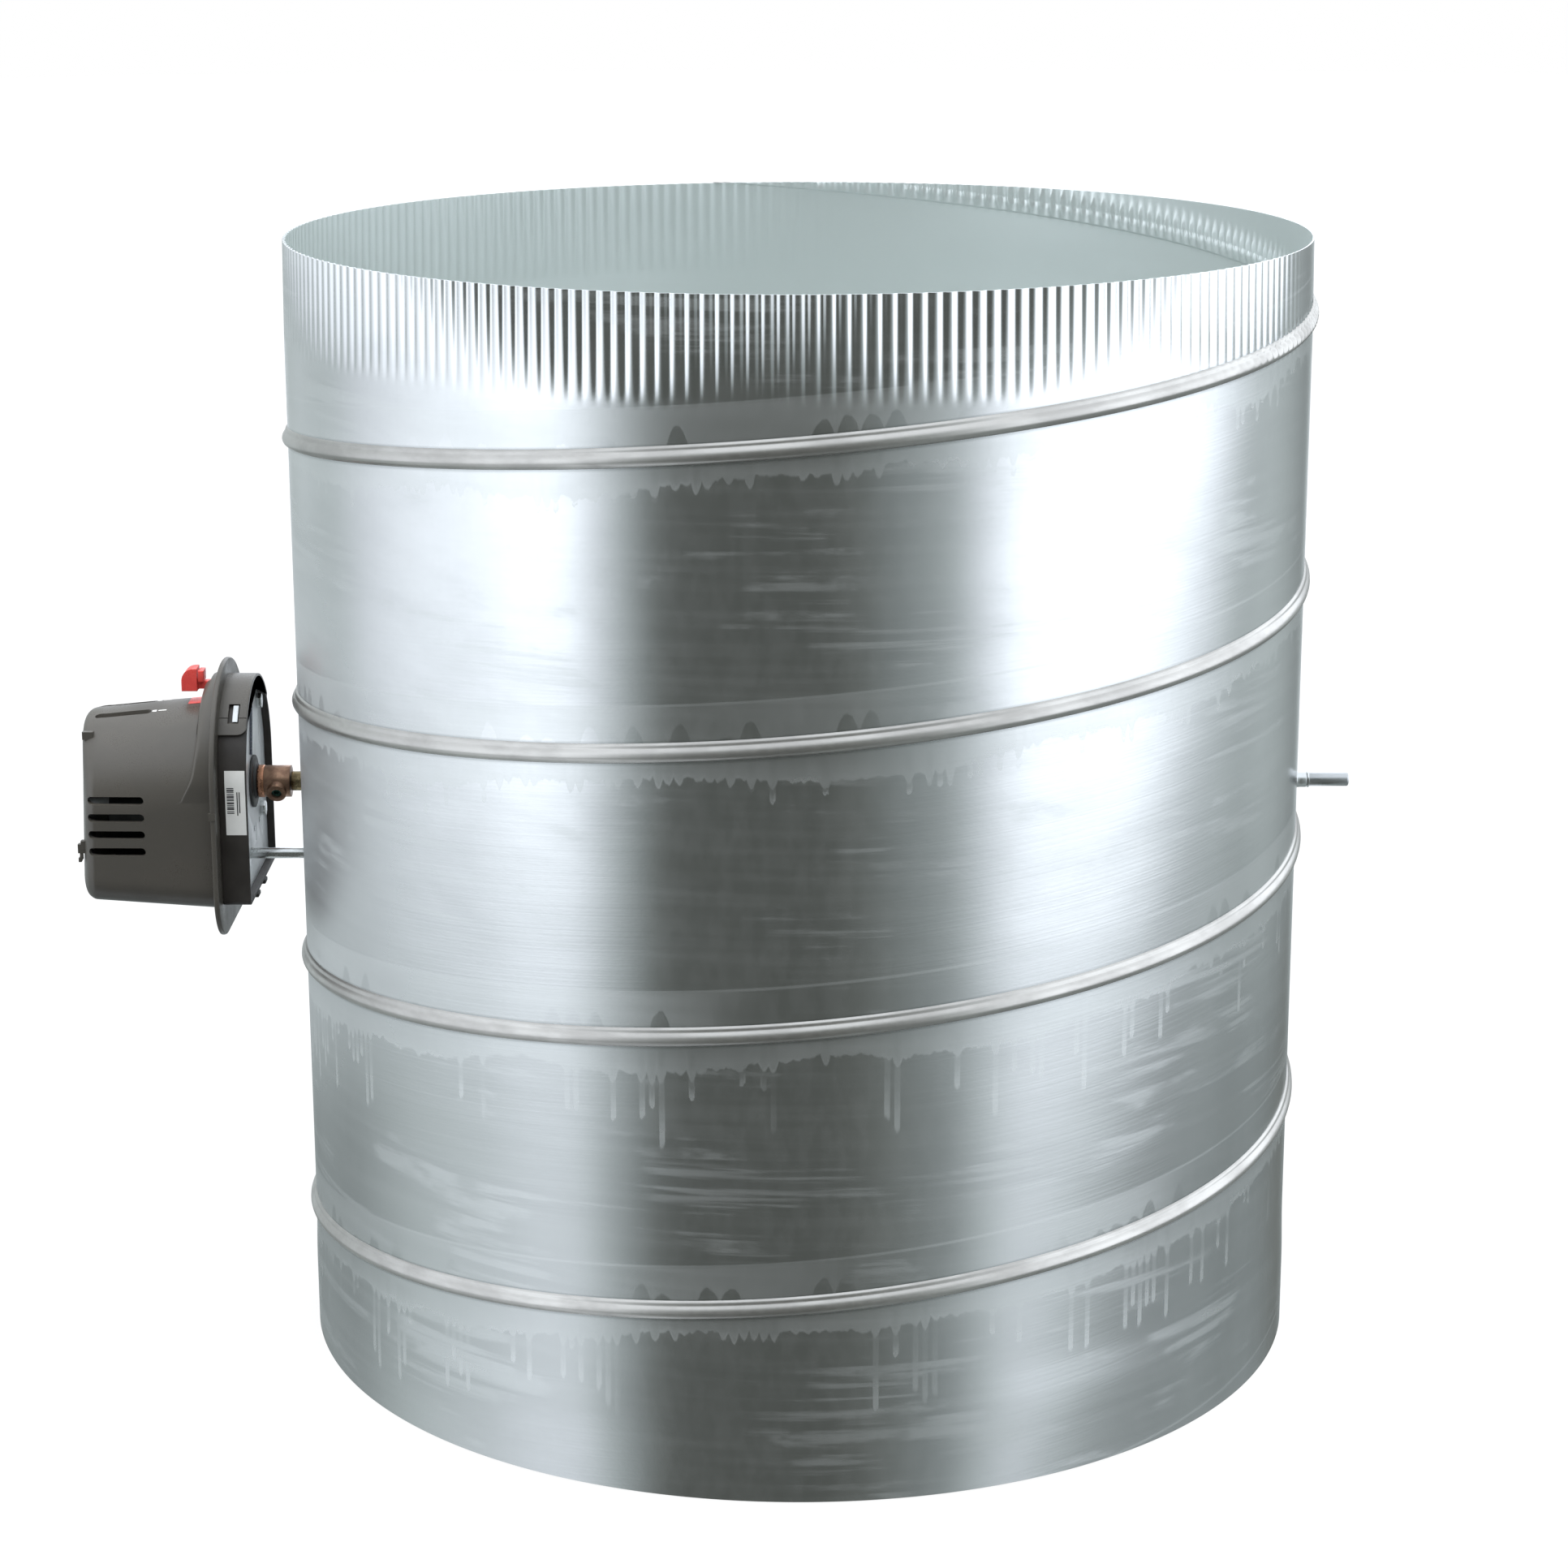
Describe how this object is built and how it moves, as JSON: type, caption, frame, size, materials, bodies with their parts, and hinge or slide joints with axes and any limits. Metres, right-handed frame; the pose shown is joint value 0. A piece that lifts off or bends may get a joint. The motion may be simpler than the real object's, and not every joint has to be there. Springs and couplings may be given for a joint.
{
  "type": "motorized duct damper",
  "caption": "Round spiral duct section with a crimped end, an inner butterfly damper blade and a spring-return actuator with a manual lever on its shaft.",
  "frame": {"origin": "centre of the plain lower end's opening, in the plane of its edge", "axes": "+Z along the duct to its crimped end, +X along the damper shaft away from the actuator, +Y completes the right-handed set"},
  "size_m": [0.5897, 0.4642, 0.508],
  "materials": {
    "galvanized_sheet": "galvanised",
    "galvanized_seam": "galvanised",
    "blade_steel": "galvanised",
    "zinc_steel": "zinc plated",
    "zinc_plate": "bright zinc",
    "shaft_steel": "zinc plated",
    "bush_brass": "dull",
    "dark_washer": "satin",
    "gasket_rubber": "matt",
    "bronze_hub": "sintered, oiled",
    "copper_ring": "satin",
    "set_screw": "oiled",
    "works_steel": "satin",
    "works_black": "matt",
    "lever_red": "satin",
    "cover_plastic": "fine texture",
    "case_plastic": "fine texture",
    "label_film": "satin",
    "grommet_rubber": "matt",
    "spring_steel": "blued",
    "gear_brass": "cut",
    "coil_copper": "enamelled wire",
    "board_green": "coated",
    "terminal_green": "satin",
    "capacitor_sleeve": "gloss"
  },
  "bodies": {
    "duct": {"duct_shell": "galvanized_sheet", "spiral_lock_seam": "galvanized_seam", "shaft_bush_left": "bush_brass", "shaft_bush_right": "bush_brass", "wall_washer_left": "dark_washer", "wall_washer_right": "dark_washer", "blade_stops": "blade_steel", "front_cover": "cover_plastic", "rear_case": "case_plastic", "back_plate": "zinc_plate", "plate_screws": "zinc_steel", "hub_bush": "works_black", "case_latches": "zinc_steel", "case_clips": "case_plastic", "case_label": "label_film", "cable_grommet": "grommet_rubber", "hub_clip": "spring_steel", "anti_rotation_stud": "zinc_steel", "stud_nuts": "zinc_steel", "front_gear_plate": "works_steel", "plate_pillars": "works_steel", "gear_arbors": "shaft_steel", "motor_coil": "coil_copper", "motor_can": "works_steel", "return_spring": "spring_steel", "spring_post": "works_steel", "end_switches": "works_black", "switch_levers": "zinc_steel", "circuit_board": "board_green", "board_posts": "works_steel", "terminal_block": "terminal_green", "terminal_screws": "zinc_steel", "board_capacitor": "capacitor_sleeve"},
    "damper": {"damper_shaft": "shaft_steel", "retaining_ring": "zinc_steel", "damper_blade": "blade_steel", "blade_gasket": "gasket_rubber", "gasket_ring": "blade_steel", "gasket_rivets": "zinc_steel", "shaft_clamps": "zinc_steel", "clamp_nuts": "zinc_steel", "thrust_collars": "zinc_steel", "drive_hub": "bronze_hub", "hub_ring": "copper_ring", "hub_set_screw": "set_screw", "output_sector": "works_steel", "manual_lever": "lever_red", "switch_cam": "works_black"},
    "second_gear": {"second_wheel": "gear_brass"},
    "first_gear": {"first_wheel": "gear_brass"},
    "motor_spindle": {"motor_pinion": "works_steel", "motor_rotor": "works_steel"}
  },
  "joints": [
    {"name": "damper_turn", "type": "hinge", "parent": "duct", "child": "damper", "pos_m": [0, 0, 0.254], "axis": [-1, 0, 0], "range_deg": [0, 90], "stiffness_Nm_per_rad": 0.25, "springref_deg": -34.38},
    {"name": "second_wheel_spin", "type": "hinge", "parent": "duct", "child": "second_gear", "pos_m": [-0.265, 0, 0.2312], "axis": [-1, 0, 0], "range_deg": [-338, 1]},
    {"name": "first_wheel_spin", "type": "hinge", "parent": "duct", "child": "first_gear", "pos_m": [-0.269, 0.0156, 0.2312], "axis": [-1, 0, 0], "range_deg": [-1, 1126]},
    {"name": "motor_spin", "type": "hinge", "parent": "duct", "child": "motor_spindle", "pos_m": [-0.28, 0.00356, 0.24014], "axis": [-1, 0, 0], "range_deg": [-4501, 1]}
  ],
  "couplings": [
    {"joint": "second_wheel_spin", "follows": "damper_turn", "ratio": -3.75},
    {"joint": "first_wheel_spin", "follows": "damper_turn", "ratio": 12.5},
    {"joint": "motor_spin", "follows": "damper_turn", "ratio": -50}
  ]
}
